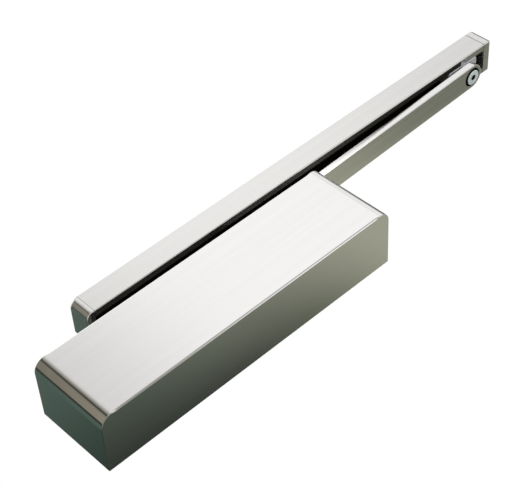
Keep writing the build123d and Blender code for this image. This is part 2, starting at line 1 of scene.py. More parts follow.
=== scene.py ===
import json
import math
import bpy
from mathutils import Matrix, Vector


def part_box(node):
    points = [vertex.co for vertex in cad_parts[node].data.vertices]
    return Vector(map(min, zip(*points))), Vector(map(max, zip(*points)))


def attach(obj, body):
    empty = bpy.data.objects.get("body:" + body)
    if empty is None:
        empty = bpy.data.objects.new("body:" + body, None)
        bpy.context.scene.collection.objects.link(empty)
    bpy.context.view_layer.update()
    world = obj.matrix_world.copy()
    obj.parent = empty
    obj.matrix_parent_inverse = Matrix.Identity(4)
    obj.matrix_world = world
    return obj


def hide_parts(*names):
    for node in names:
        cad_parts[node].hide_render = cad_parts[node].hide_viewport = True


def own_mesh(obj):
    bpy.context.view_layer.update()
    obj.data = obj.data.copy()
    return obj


bl_info = {
    "name": "Slide Arm Door Closer",
    "version": (1, 0, 0),
    "blender": (4, 5, 0),
    "location": "3D View > Sidebar > Door Closer",
    "description": "Dresses a slide arm door closer and its track in brushed and plated metal",
    "category": "Add Mesh",
}

import bmesh
import bpy
import numpy as np
from bpy.props import FloatProperty, PointerProperty, StringProperty
from bpy.types import Operator, Panel, PropertyGroup
from mathutils import Matrix, Vector
from mathutils.geometry import tessellate_polygon

MM = 0.001
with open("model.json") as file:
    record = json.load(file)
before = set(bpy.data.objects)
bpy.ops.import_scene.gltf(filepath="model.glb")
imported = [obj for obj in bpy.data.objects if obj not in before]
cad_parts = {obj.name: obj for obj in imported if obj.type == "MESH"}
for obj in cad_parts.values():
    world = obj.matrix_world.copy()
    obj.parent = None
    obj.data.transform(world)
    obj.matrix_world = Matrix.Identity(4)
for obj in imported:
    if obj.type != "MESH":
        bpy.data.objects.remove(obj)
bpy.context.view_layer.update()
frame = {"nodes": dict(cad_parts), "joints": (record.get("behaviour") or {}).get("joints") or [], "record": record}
JOINTS = {joint["name"]: joint for joint in frame["joints"]}
SPINDLE = np.array(JOINTS["arm_swing"]["pos_m"])
PIVOT = np.array(JOINTS["slider_pivot"]["pos_m"])


def node_box(node):
    """The lowest and highest corner of a CAD node, as arrays in metres."""
    low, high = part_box(node)
    return np.array(low), np.array(high)


# Shapes, each a function of two parameters or a profile carried along a path


def mesh_object(name, vertices, faces):
    """An object at the origin whose mesh holds the place of the piece."""
    mesh = bpy.data.meshes.new(name)
    mesh.from_pydata(np.asarray(vertices, float).reshape(-1, 3).tolist(), [], faces)
    mesh.validate()
    mesh.update()
    mesh.shade_smooth()
    piece = bpy.data.objects.new(name, mesh)
    bpy.context.scene.collection.objects.link(piece)
    return piece


def grid_faces(rows, columns, close_rows=False, close_columns=False, first=0):
    """Quads of a grid of points, stored row by row, that may close on itself either way."""
    i = np.arange(rows if close_rows else rows - 1)
    j = np.arange(columns if close_columns else columns - 1)
    i, j = [a.ravel() for a in np.meshgrid(i, j, indexing="ij")]
    up, right = (i + 1) % rows, (j + 1) % columns
    quads = np.stack([i * columns + j, up * columns + j, up * columns + right, i * columns + right], 1)
    return (quads + first).tolist()


def lathe(name, profile, place, axis, segments):
    """A profile of (radius, height) pairs, with a pole at both ends, turned round an axis.

    Point (i, j) is place + radius_j (u cos a_i + v sin a_i) + height_j w, with a_i one of the even angles.
    """
    w = np.asarray(axis, float)
    u = np.cross(w, [0.31, 0.52, 0.8])
    u /= np.linalg.norm(u)
    v = np.cross(w, u)
    profile = np.asarray(profile, float)
    body = profile[1:-1]
    angle = np.arange(segments) * 2 * np.pi / segments
    around = np.cos(angle)[:, None] * u + np.sin(angle)[:, None] * v
    points = (np.asarray(place) + around[:, None] * body[None, :, :1] + body[None, :, 1:] * w).reshape(-1, 3)
    poles = np.asarray(place) + profile[[0, -1], 1:] * w
    first, last = len(points), len(points) + 1
    faces = grid_faces(segments, len(body), close_rows=True)
    starts = [i * len(body) for i in range(segments)]
    pairs = list(zip(starts, starts[1:] + starts[:1]))
    faces += [[one, first, two] for one, two in pairs]
    faces += [[two + len(body) - 1, last, one + len(body) - 1] for one, two in pairs]
    return fix_outside(mesh_object(name, np.vstack([points, poles]), faces))


def fix_outside(piece):
    """Turns all faces of a closed mesh outwards, after doubles are merged."""
    work = bmesh.new()
    work.from_mesh(piece.data)
    bmesh.ops.remove_doubles(work, verts=work.verts, dist=1e-7)
    bmesh.ops.recalc_face_normals(work, faces=work.faces)
    work.to_mesh(piece.data)
    work.free()
    return piece


def crisp(piece, angle=35.0):
    """Smooth shading that breaks at edges sharper than the angle, with flats kept flat."""
    mesh = piece.data
    mesh.shade_smooth()
    mesh.set_sharp_from_angle(angle=math.radians(angle))
    weighted = piece.modifiers.new("even_normals", "WEIGHTED_NORMAL")
    weighted.keep_sharp = True
    weighted.weight = 90
    return piece


def arc(centre, radius, start, end, steps):
    """Points of a plane arc, both ends included; angles in degrees."""
    angle = np.radians(np.linspace(start, end, steps + 1))
    return np.stack([centre[0] + radius * np.cos(angle), centre[1] + radius * np.sin(angle)], 1)


def fill(points, *loops):
    """Triangles between a flat outline and the holes in it, each loop a list of point numbers."""
    numbers = [k for loop in loops for k in loop]
    triangles = tessellate_polygon([[Vector(points[k]) for k in loop] for loop in loops])
    return [[numbers[k] for k in triangle] for triangle in triangles]


def prism(name, outline, start, end):
    """A closed outline of (y, z) points carried along X, with flat ends."""
    count = len(outline)
    points = np.vstack([np.column_stack([np.full(count, x), outline]) for x in (start, end)])
    faces = grid_faces(2, count, close_columns=True)
    faces += fill(points, range(count)) + fill(points, range(count, 2 * count))
    return fix_outside(mesh_object(name, points, faces))


def stack(name, rings):
    """Closed rings of equally many points, one after another, filled at both ends."""
    rows, columns = np.shape(rings)[:2]
    faces = grid_faces(rows, columns, close_columns=True)
    faces += [list(range(columns)), list(range((rows - 1) * columns, rows * columns))]
    return fix_outside(mesh_object(name, rings, faces))


def ring_levels(outlines, levels):
    """Plan outlines of equally many points, each at its level, as rows of a grid."""
    return np.array([np.column_stack([outline, np.full(len(outline), z)]) for outline, z in zip(outlines, levels)])


def rolled(edge):
    """Rows of (inset, height) that roll an edge over by a quarter round, from the flat to the side."""
    return [(edge * (1 - math.sin(a)), edge * (1 - math.cos(a))) for a in np.radians(np.linspace(0, 90, 5))]


def rounded_rectangle(centre, width, height, radius, steps=6):
    """Outline of a rectangle with round corners."""
    cx, cy = centre
    corners = [(1, 1, 0), (-1, 1, 90), (-1, -1, 180), (1, -1, 270)]
    parts = []
    for sx, sy, start in corners:
        middle = (cx + sx * (width / 2 - radius), cy + sy * (height / 2 - radius))
        parts.append(arc(middle, radius, start, start + 90, steps))
    return np.vstack(parts)


def tube_along(name, path, radius, sides=14):
    """A round tube along an open path, closed at both ends; each ring stands across it, turned from the X axis."""
    tangent = np.gradient(path, axis=0)
    tangent /= np.linalg.norm(tangent, axis=1)[:, None]
    across = np.cross(tangent, [1.0, 0.0, 0.0])
    across /= np.linalg.norm(across, axis=1)[:, None]
    up = np.cross(across, tangent)
    angle = np.arange(sides) * 2 * np.pi / sides
    ring = np.cos(angle)[None, :, None] * across[:, None] + np.sin(angle)[None, :, None] * up[:, None]
    return stack(name, path[:, None] + radius * ring)


def join(name, pieces):
    """Several meshes as one object."""
    vertices, faces = [], []
    for piece in pieces:
        mesh = piece.data
        points = np.zeros(len(mesh.vertices) * 3)
        mesh.vertices.foreach_get("co", points)
        first = sum(len(v) for v in vertices)
        vertices.append(points.reshape(-1, 3))
        faces += [[first + v for v in polygon.vertices] for polygon in mesh.polygons]
        bpy.data.objects.remove(piece)
    return mesh_object(name, np.vstack(vertices), faces)


# Materials


def linear(colour):
    """An sRGB hex colour as linear red, green, blue and alpha."""
    values = [int(colour.lstrip("#")[k : k + 2], 16) / 255 for k in (0, 2, 4)]
    return [v / 12.92 if v <= 0.04045 else ((v + 0.055) / 1.055) ** 2.4 for v in values] + [1.0]


def add(tree, kind, inputs=None, stops=(), **settings):
    """One node with its settings; an input is a value, a socket to link from, or a node for its first output.

    stops are the (position, hex colour) pairs of a colour ramp.
    """
    node = tree.nodes.new(kind)
    for key, value in settings.items():
        setattr(node, key, value)
    for key, value in (inputs or {}).items():
        if isinstance(value, bpy.types.Node):
            value = value.outputs[0]
        if isinstance(value, bpy.types.NodeSocket):
            tree.links.new(value, node.inputs[key])
        else:
            node.inputs[key].default_value = value
    if stops:
        elements = node.color_ramp.elements
        for element, (position, colour) in zip(elements, (stops[0], stops[-1])):
            element.position, element.color = position, linear(colour)
        for position, colour in stops[1:-1]:
            elements.new(position).color = linear(colour)
    return node


def start_material(name):
    """A material with only a Principled shader on its output; also its node tree and that shader."""
    material = bpy.data.materials.new(name)
    material.use_nodes = True
    tree = material.node_tree
    tree.nodes.clear()
    shader = add(tree, "ShaderNodeBsdfPrincipled")
    add(tree, "ShaderNodeOutputMaterial", {"Surface": shader}, target="ALL")
    return material, tree, shader


def surface(name, light, dark, roughness, metallic, spacing, grain, wide, colour_ends, spread):
    """A finish whose fine noise and wide cloudiness change colour, roughness and height together.

    spacing is the noise's size on each axis in mm. grain is its detail, its roughness, and the strength and
    depth in mm of its relief. wide is the clouds' share of its frequency. The colour goes from dark to light
    between the two values of colour_ends, and spread is the roughness's range, in shares of roughness.
    """
    material, tree, shader = start_material(name)
    place = add(tree, "ShaderNodeTexCoord")
    pattern = add(tree, "ShaderNodeMapping", {"Vector": place.outputs["Object"],
                                              "Scale": [1 / (size * MM) for size in spacing]})
    detail, rough, strength, relief = grain
    fine = add(tree, "ShaderNodeTexNoise", {"Vector": pattern, "Scale": 1.0, "Detail": detail, "Roughness": rough})
    clouds = add(tree, "ShaderNodeTexNoise", {"Vector": pattern, "Scale": wide, "Detail": 2.0})
    both = add(tree, "ShaderNodeMath", {0: fine, 1: clouds}, operation="ADD")
    half = add(tree, "ShaderNodeMath", {0: both, 1: 0.5}, operation="MULTIPLY")
    tint = add(tree, "ShaderNodeValToRGB", {"Fac": half}, list(zip(colour_ends, (dark, light))))
    low, high = [min(roughness * share, 1.0) for share in spread]
    gloss = add(tree, "ShaderNodeMapRange", {"Value": half, "From Min": 0.3, "From Max": 0.7, "To Min": low,
                                            "To Max": high})
    bump = add(tree, "ShaderNodeBump", {"Height": fine, "Strength": strength, "Distance": relief * MM})
    for node, socket in ((tint, "Base Color"), (gloss, "Roughness"), (bump, "Normal")):
        tree.links.new(node.outputs[0], shader.inputs[socket])
    shader.inputs["Metallic"].default_value = metallic
    return material


def brushed_metal(name, light, dark, roughness, grain_mm, length_mm):
    """Metal drawn through abrasive belts: hair lines along X and a faint long cloudiness.

    Line spacing is grain_mm across the lines and length_mm along them, coarser than the real ones, which are
    too fine to show.
    """
    return surface(name, light, dark, roughness, 1.0, (length_mm, grain_mm, grain_mm), (3.0, 0.65, 0.35, 0.001),
                   1 / 12, (0.30, 0.68), (0.9, 1.12))


def grained(name, light, dark, roughness, grain_mm, relief_mm, metallic=0.0, contrast=0.2):
    """An even surface with a fine grain, the same all ways: moulded, cast, plated or rubbed, by its values."""
    return surface(name, light, dark, roughness, metallic, (grain_mm,) * 3, (4.0, 0.6, 0.4, relief_mm), 0.06,
                   (0.5 - contrast, 0.5 + contrast), (0.88, 1.15))


def satin_stainless():
    """Stainless steel sheet, formed and belt ground lengthwise: cool silver, hair lines along the cover."""
    return brushed_metal("satin_stainless", FINISH["steel_light"], FINISH["steel_dark"], 0.13, 0.5, 60.0)


def satin_arm_steel():
    """Flat steel bar, ground lengthwise and nickel plated: a little warmer and smoother than the cover.

    The counterbore is painted near black: painted shade in the recess. The sawn long sides are painted whiter and
    matt near the spindle, fading back to the bare metal towards the pivot: a painted highlight.
    """
    bar = brushed_metal("satin_arm_steel", FINISH["arm_light"], FINISH["arm_dark"], 0.17, 0.45, 45.0)
    radius, floor = 8.6 * MM, PIVOT[2] + 0.05 * MM
    # Painted shade: the counterbore's wall and floor and the screw hole above it are stained near black.
    stain(bar, lambda tree: bore_mask(tree, PIVOT, radius, floor, floor + 5 * MM), "#24231F", 0.5)
    # Painted highlight: the long sides near the spindle are made near white and matt, fading out towards the pivot.
    return stain(bar, side_highlight_mask, "#F6F5F3", 0.4, metallic=0.1)


def within(tree, value, low, high):
    """1 where a value lies between two limits, else 0."""
    above = add(tree, "ShaderNodeMath", {0: value, 1: low}, operation="GREATER_THAN")
    below = add(tree, "ShaderNodeMath", {0: value, 1: high}, operation="LESS_THAN")
    return add(tree, "ShaderNodeMath", {0: above, 1: below}, operation="MULTIPLY")


def box_mask(tree, low, high):
    """1 inside a box in object coordinates, which are the part's own metres, else 0."""
    place = add(tree, "ShaderNodeTexCoord")
    parts = add(tree, "ShaderNodeSeparateXYZ", {0: place.outputs["Object"]})
    inside = [within(tree, parts.outputs[k], low[k], high[k]) for k in range(3)]
    flat = add(tree, "ShaderNodeMath", {0: inside[0], 1: inside[1]}, operation="MULTIPLY")
    return add(tree, "ShaderNodeMath", {0: flat, 1: inside[2]}, operation="MULTIPLY")


def bore_mask(tree, centre, radius, low, high):
    """1 inside an upright cylinder in object coordinates, else 0."""
    place = add(tree, "ShaderNodeTexCoord")
    level = add(tree, "ShaderNodeVectorMath", {0: place.outputs["Object"], 1: (1, 1, 0)}, operation="MULTIPLY")
    reach = add(tree, "ShaderNodeVectorMath", {0: level, 1: (*centre[:2], 0)}, operation="DISTANCE")
    near = add(tree, "ShaderNodeMath", {0: reach.outputs["Value"], 1: radius}, operation="LESS_THAN")
    parts = add(tree, "ShaderNodeSeparateXYZ", {0: place.outputs["Object"]})
    depth = within(tree, parts.outputs["Z"], low, high)
    return add(tree, "ShaderNodeMath", {0: near, 1: depth}, operation="MULTIPLY")


def side_highlight_mask(tree):
    """1 on the arm's long upright sides near the spindle, fading to 0 towards the pivot: where the highlight is
    painted.

    The distance across the bar is the cross product of its direction and the way from the spindle.
    """
    low, high = node_box("arm")
    direction = PIVOT[:2] - SPINDLE[:2]
    half = (high[0] - low[0] - abs(direction[0])) / 2
    length = np.linalg.norm(direction)
    direction = direction / length
    place = add(tree, "ShaderNodeTexCoord")
    way = add(tree, "ShaderNodeVectorMath", {0: place.outputs["Object"], 1: (*SPINDLE[:2], 0)},
              operation="SUBTRACT")
    off = add(tree, "ShaderNodeVectorMath", {0: way, 1: (-direction[1], direction[0], 0)},
              operation="DOT_PRODUCT")
    reach = add(tree, "ShaderNodeMath", {0: off.outputs["Value"]}, operation="ABSOLUTE")
    along = add(tree, "ShaderNodeVectorMath", {0: way, 1: (*direction, 0)}, operation="DOT_PRODUCT")
    side = within(tree, reach, half - 0.2 * MM, half + 1 * MM)
    fade = add(tree, "ShaderNodeMapRange", {"Value": along.outputs["Value"], "From Min": 0.3 * length,
                                           "From Max": 0.62 * length, "To Min": 1.0, "To Max": 0.0})
    return add(tree, "ShaderNodeMath", {0: side, 1: fade}, operation="MULTIPLY")


def stain(material, mask, colour, roughness, metallic=None):
    """Changes a finish to another colour, roughness and metal share where the mask is 1."""
    tree = material.node_tree
    shader = next(node for node in tree.nodes if node.type == "BSDF_PRINCIPLED")
    changes = [("Base Color", linear(colour), "RGBA", 2), ("Roughness", roughness, "FLOAT", 0)]
    if metallic is not None:
        changes.append(("Metallic", metallic, "FLOAT", 0))
    for socket, value, kind, result in changes:
        links = shader.inputs[socket].links
        outer = links[0].from_socket if links else shader.inputs[socket].default_value
        mixed = add(tree, "ShaderNodeMix", {"Factor": mask(tree), "A": outer, "B": value}, data_type=kind)
        tree.links.new(mixed.outputs[result], shader.inputs[socket])
    return material


def painted_channel_shade(material):
    """Painted shade: the channel's inside and the lips beside its slot are painted nearly black and duller.

    One box just wider than the hollow says where the inside is, and a flat one where the lips are. The lip box ends
    4 mm short of the pivot, and beyond that the lips are left bare.
    """
    low, high = node_box("track")
    wall, margin, rim, past = 2.0 * MM, 0.15 * MM, 0.7 * MM, 4.0 * MM
    inside = (low + [-5.5 * MM, wall - margin, margin], high + [0.5 * MM, margin - wall, margin - wall])
    lips = ((low[0] - past, low[1] + rim, low[2] - margin), (PIVOT[0] - past, high[1] - rim, low[2] + margin))

    def shade_mask(tree):
        both = {0: box_mask(tree, *inside), 1: box_mask(tree, *lips)}
        return add(tree, "ShaderNodeMath", both, operation="MAXIMUM")

    # The painted shade: nearly black, duller and less metallic wherever either box holds.
    return stain(material, shade_mask, "#201F1A", 0.5, metallic=0.3)


def anodised_aluminium():
    """Extruded aluminium, etched and clear anodised: very fine die lines along the extrusion, silky gloss."""
    track = brushed_metal("anodised_aluminium", FINISH["track_light"], FINISH["track_dark"], 0.18, 0.4, 120.0)
    # Painted shade inside the channel and on the lips beside the slot.
    return painted_channel_shade(track)


def zinc_plated():
    """Pressed or turned steel, zinc plated and clear passivated: bluish grey, slightly mottled."""
    return grained("zinc_plated", "#D6DCDC", "#AEB8B9", 0.30, 1.6, 0.01, metallic=1.0)


def plated_screw():
    """Cold headed screw, bright zinc plated: light blue grey with a soft gloss, with painted shade above its face:
    the socket, the head's side and the shank are painted near black.
    """
    screw = grained("plated_screw", "#CFDADA", "#B9C6C6", 0.32, 0.9, 0.004, metallic=0.35)
    face = node_box("pivot_screw")[0][2]
    below = ((-9.0, -9.0, face + 0.45 * MM), (9.0, 9.0, 9.0))
    # Painted shade: everything more than 0.45 mm above the screw's face is stained near black.
    return stain(screw, lambda tree: box_mask(tree, *below), "#24231F", 0.5)


def cast_aluminium():
    """Pressure die casting, blasted: matt grey with a fine pebble grain."""
    return grained("cast_aluminium", "#B9BBBC", "#8E9192", 0.55, 0.7, 0.05, metallic=0.9)


def blued_spring():
    """Patented spring wire, oil tempered: dark blue grey with drawn lines and a light oil film."""
    return grained("blued_spring", "#5C6269", "#33373D", 0.34, 0.5, 0.01, metallic=1.0)


def hardened_steel():
    """Case hardened and ground steel: mid grey, oily."""
    return grained("hardened_steel", "#A7A9AA", "#7D8082", 0.27, 0.4, 0.006, metallic=1.0)


def bearing_steel():
    """Through hardened, honed ring steel: bright and even."""
    return grained("bearing_steel", "#D5D8DA", "#B6BABD", 0.16, 0.5, 0.003, metallic=1.0)


def seal_rubber():
    """Nitrile rubber, moulded: black, matt, with a bloom."""
    return grained("seal_rubber", "#2A2B2C", "#131414", 0.62, 0.8, 0.01)


def acetal_plastic():
    """Acetal, moulded, unpigmented grey: waxy sheen, even colour."""
    return grained("acetal_plastic", "#A3A6AA", "#979A9E", 0.42, 1.2, 0.006, contrast=0.3)


def silver_plastic():
    """Polyamide moulding with metal flake pigment, to match the track: silver, finely speckled.

    A dark line is painted along the right cap's front corner: a painted reflection of dark surroundings in its
    round edge.
    """
    cap = grained("silver_plastic", FINISH["cap_light"], FINISH["cap_dark"], 0.14, 0.35, 0.001, metallic=0.95)
    low, high = node_box("end_cap_right")
    corner = ((high[0] - 1.8 * MM, low[1] - 1 * MM, low[2] + 0.4 * MM),
              (high[0] - 0.03 * MM, low[1] + 1.1 * MM, high[2] + 1 * MM))
    # Painted reflection: a thin dark strip down the right cap's front corner.
    stain(cap, lambda tree: box_mask(tree, *corner), "#4A473F", 0.4, metallic=0.3)
    # Painted shade inside the channel and on the lips beside the slot, where the caps reach into them.
    return painted_channel_shade(cap)


SLOT_MAKERS = {
    "zinc_steel": zinc_plated,
    "cast_aluminium": cast_aluminium,
    "satin_stainless": satin_stainless,
    "spring_steel": blued_spring,
    "hardened_steel": hardened_steel,
    "bearing_steel": bearing_steel,
    "seal_rubber": seal_rubber,
    "satin_steel": satin_arm_steel,
    "acetal": acetal_plastic,
    "plated_screw": plated_screw,
    "anodised_aluminium": anodised_aluminium,
    "silver_plastic": silver_plastic,
}
FINISH = {}  # the colours of FinishSettings, once main has read them
MADE = {}


def coat(piece, slot):
    """Gives a piece the material of one of the record's slots, made once."""
    if slot not in MADE:
        MADE[slot] = SLOT_MAKERS[slot]()
    piece.data.materials.clear()
    piece.data.materials.append(MADE[slot])


def dress(piece, slot, body, *nodes):
    """Gives a piece its material, its body and the CAD nodes it stands for."""
    coat(piece, slot)
    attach(piece, body)
    if nodes:
        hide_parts(*nodes)


# Sizes and colours that a user would change

LENGTH = {"unit": "LENGTH", "precision": 4}


class CoverSettings(PropertyGroup):
    wall: FloatProperty(name="Wall", description="Sheet thickness", default=1.2 * MM, **LENGTH)
    end_radius: FloatProperty(name="End radius", description="Round from the front to each end", default=10 * MM,
                              **LENGTH)
    edge_radius: FloatProperty(name="Edge radius", description="Round along the long front edges", default=1.5 * MM,
                               **LENGTH)
    notch_radius: FloatProperty(name="Notch radius", description="Round end of the spindle's notch",
                                default=10.5 * MM, **LENGTH)


class ArmSettings(PropertyGroup):
    edge: FloatProperty(name="Edge", description="Round along the bar's edges", default=0.6 * MM, **LENGTH)
    recess_radius: FloatProperty(name="Recess radius", description="Counterbore of the pivot screw",
                                 default=8.4 * MM, **LENGTH)
    recess_depth: FloatProperty(name="Recess depth", description="Depth of that counterbore", default=3.0 * MM,
                                **LENGTH)
    key_width: FloatProperty(name="Key width", description="Hexagon socket of the pivot screw", default=5.0 * MM,
                             **LENGTH)


class FinishSettings(PropertyGroup):
    steel_light: StringProperty(name="Cover light", description="Cover colour on the hair lines", default="#ECEBEA")
    steel_dark: StringProperty(name="Cover dark", description="Cover colour between the hair lines",
                               default="#E6E5E4")
    arm_light: StringProperty(name="Arm light", description="Arm colour on the hair lines", default="#EFEEEC")
    arm_dark: StringProperty(name="Arm dark", description="Arm colour between the hair lines", default="#E0DFDD")
    track_light: StringProperty(name="Track light", description="Track colour on the die lines", default="#E4E3E1")
    track_dark: StringProperty(name="Track dark", description="Track colour between the die lines",
                               default="#DEDDDB")
    cap_light: StringProperty(name="Cap light", description="End cap colour of the flakes", default="#E8E7E5")
    cap_dark: StringProperty(name="Cap dark", description="End cap colour between the flakes", default="#DCDBD9")


class StageSettings(PropertyGroup):
    focal_px: FloatProperty(name="Focal length", description="Focal length in pixels of the photograph",
                            default=1439.5)
    frame_px: FloatProperty(name="Frame width", description="Width of the photograph in pixels", default=505.0)
    floor_drop: FloatProperty(name="Floor drop", description="Floor below the origin", default=2.5, unit="LENGTH")


def settings(group):
    """The values of one of the panel's groups."""
    return getattr(bpy.context.scene, group)


# The closer's body


def path_round_cover(length, depth, gap, radius, steps):
    """Plan path of a cover's wall from the back left, round the front, to the back right, and its inward normals.

    The third result is 0 on the ends and the rounds and rises to 1 over the first millimetres of the front.
    """
    half = length / 2
    left = arc((-half + radius, -depth + radius), radius, 180, 270, steps)
    right = arc((half - radius, -depth + radius), radius, 270, 360, steps)
    legs = np.linspace(-gap, -depth + radius, 5)[:-1]
    start = np.column_stack([np.full(4, -half), legs])
    end = np.column_stack([np.full(4, half), legs[::-1]])
    reach, fade = half - radius, 4 * MM
    step = np.array([0.5, 1.0]) * fade
    front = np.linspace(-reach + 2 * fade, reach - 2 * fade, 12)
    front = np.concatenate([-reach + step, front, reach - step[::-1]])
    middle = np.column_stack([front, np.full(len(front), -depth)])
    points = np.vstack([start, left, middle, right, end])
    inward = np.vstack([
        np.tile([1.0, 0.0], (4, 1)), (np.array([-half + radius, -depth + radius]) - left) / radius,
        np.tile([0.0, 1.0], (len(front), 1)), (np.array([half - radius, -depth + radius]) - right) / radius,
        np.tile([-1.0, 0.0], (4, 1))])
    share = np.clip((reach - np.abs(front)) / fade, 0, 1)
    ends = np.zeros(4 + len(left))
    return points, inward, np.concatenate([ends, share, ends])


def cover_section(height, edge, inset, steps):
    """Inward distance and height of the wall's section, from the top flat round to the bottom flat, row by row.

    With round e and angle t the distance is inset + e (1 + cos t) and the height is (h - e) + e sin t above
    and -(h - e) + e sin t below.
    """
    edge = np.asarray(edge)[:, None]
    upper, lower = np.radians(np.linspace(90, 180, steps + 1)), np.radians(np.linspace(180, 270, steps + 1))
    top = np.stack([inset + edge * (1 + np.cos(upper)), height - edge + edge * np.sin(upper)], 2)
    low = np.stack([inset + edge * (1 + np.cos(lower)), edge - height + edge * np.sin(lower)], 2)
    return np.concatenate([top, low], 1)


def notch_outline(radius, centre, gap, steps=16):
    """Plan points of the spindle's notch, from its right side at the rim round to its left side."""
    round_end = arc(centre, radius, 0, -180, steps)
    return np.vstack([[[centre[0] + radius, -gap]], round_end, [[centre[0] - radius, -gap]]])


class CLOSER_OT_cover(Operator):
    """Make the pull-off cover, a thin formed shell with round front ends and a notch for the spindle"""

    bl_idname = "closer.cover"
    bl_label = "Cover"

    def execute(self, context):
        sizes = settings("closer_cover")
        low, high = node_box("cover")
        length, depth, gap = high[0] - low[0], -low[1], -high[1]
        half = high[2]
        points, inward, share = path_round_cover(length, depth, gap, sizes.end_radius, 20)
        steps, tight = 5, 0.5 * MM
        outer = cover_section(half, tight + (sizes.edge_radius - tight) * share, 0.0, steps)
        inner = cover_section(half - sizes.wall, np.full(len(share), 0.3 * MM), sizes.wall, steps)[:, ::-1]
        section = np.concatenate([outer, inner], 1)
        flat = points[:, None, :] + inward[:, None, :] * section[:, :, :1]
        vertices = np.concatenate([flat, section[:, :, 1:]], 2)
        rows, columns = section.shape[:2]
        turn = outer.shape[1]
        faces = np.array(grid_faces(rows, columns))
        faces = faces[faces[:, 0] % columns != turn - 1].tolist()
        for row in (0, rows - 1):
            faces += [[row * columns + j, row * columns + j + 1, row * columns + columns - 2 - j,
                       row * columns + columns - 1 - j] for j in range(turn - 1)]
        vertices = vertices.reshape(-1, 3)
        notch = notch_outline(sizes.notch_radius, SPINDLE[:2], gap)
        notched = self.rims(vertices, faces, rows, columns, (0, columns - 1), notch, half, sizes.wall)
        plain = self.rims(vertices, faces, rows, columns, (turn - 1, turn), np.zeros((0, 2)), -half, -sizes.wall)
        piece = mesh_object("cover_shell", np.vstack([vertices, notched, plain]), faces)
        crisp(fix_outside(piece), 40)
        dress(piece, "satin_stainless", "cover", "cover")
        return {"FINISHED"}

    def rims(self, vertices, faces, rows, columns, sides, outline, level, wall):
        """Adds one flat wall, outer and inner face, and the rim along the back; returns the outline's points."""
        count = len(vertices)
        rear = len(outline)
        outer = [row * columns + sides[0] for row in range(rows)] + [count + k for k in range(rear)]
        inner = [row * columns + sides[1] for row in range(rows)] + [count + rear + k for k in range(rear)]
        faces.append(outer)
        faces.append(inner[::-1])
        for k in range(rows - 1, rows + rear):
            after = (k + 1) % (rows + rear)
            faces.append([outer[k], inner[k], inner[after], outer[after]])
        return ring_levels([outline, outline], [level, level - wall]).reshape(-1, 3)


def countersunk_screw(name, place, radius, head_radius, length, axis, key):
    """A countersunk screw: flat head with a round socket, cone and a shank with a rolled thread."""
    pitch, depth, rim, tip = 0.8 * MM, 0.35 * MM, 0.1 * MM, 0.2 * MM
    head = head_radius - radius
    profile = [(0, -key * 0.5), (key * 0.5, -key * 0.5), (key * 0.52, 0), (head_radius - rim, 0),
               (head_radius, -rim), (radius, -head)]
    for turn in range(int((length - head - 1.0 * MM) / pitch)):
        level = -head - 0.5 * MM - turn * pitch
        profile += [(radius, level), (radius - depth, level - pitch * 0.5)]
    profile += [(radius - depth, tip - length), (radius - 2 * depth, -length), (0, -length)]
    return lathe(name, profile, place, axis, 32)


class CLOSER_OT_body_fasteners(Operator):
    """Make the four screws that hold the housing on the mounting plate"""

    bl_idname = "closer.body_fasteners"
    bl_label = "Body fasteners"

    def execute(self, context):
        low, high = node_box("housing_screws")
        radius, head = 2.5 * MM, 4.9 * MM
        places = [(x, high[1], z) for x in (low[0] + head, high[0] - head) for z in (low[2] + head, high[2] - head)]
        screws = [countersunk_screw("screw", place, radius, head, high[1] - low[1], (0, 1, 0), 3.0 * MM)
                  for place in places]
        dress(crisp(join("housing_screw_set", screws), 30), "zinc_steel", "closer", "housing_screws")
        return {"FINISHED"}


class CLOSER_OT_spring(Operator):
    """Make the closing spring, a coil with closed end turns that the piston and the spring seat squeeze

    In the closer, the seat squeezes the left part towards it as the power screw turns, and the piston squeezes the
    right part as the arm swings.
    Here the coil is cut into two stretches in the ratio of those two travels, both held still on the closer's body.
    """

    bl_idname = "closer.spring"
    bl_label = "Closing spring"

    def execute(self, context):
        low, high = node_box("closing_spring")
        wire, turns, closed, creep = 2.2 * MM, 10, 0.09, 0.03
        mean = (high[2] - low[2]) / 2 - wire
        start, end = low[0] + wire, high[0] - wire
        angle = np.linspace(0, 2 * np.pi * turns, turns * 40)
        share = angle / angle[-1]
        advance = np.interp(share, [0, closed, 1 - closed, 1], [0, creep, 1 - creep, 1])
        x = start + (end - start) * advance
        path = np.column_stack([x, SPINDLE[1] + mean * np.cos(angle), mean * np.sin(angle)])
        joints = {row["name"]: row for row in frame["record"]["behaviour"]["joints"]}
        travels = [max(map(abs, joints[name]["range_m"])) for name in ("spring_seat_travel", "piston_travel")]
        middle = int(len(path) * travels[0] / sum(travels))
        stretches = [("closing_spring_left", path[:middle + 1], "spring_seat_travel", travels[0], low[0]),
                     ("closing_spring_right", path[middle:], "piston_travel", travels[1], high[0])]
        for name, stretch, joint, travel, far_end in stretches:
            piece = tube_along(name, stretch, wire * 0.98)
            dress(piece, "spring_steel", "closer", "closing_spring")
            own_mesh(piece)
        return {"FINISHED"}


class CLOSER_OT_mechanism(Operator):
    """Give every piece of the housing and mechanism that keeps its CAD shape its own finish"""

    bl_idname = "closer.mechanism"
    bl_label = "Mechanism finishes"

    def execute(self, context):
        slots = {row["node"]: row["material_slot"] for row in frame["record"]["subparts"]}
        for name, piece in frame["nodes"].items():
            coat(piece, slots[name])
        return {"FINISHED"}


# The arm and its pivot


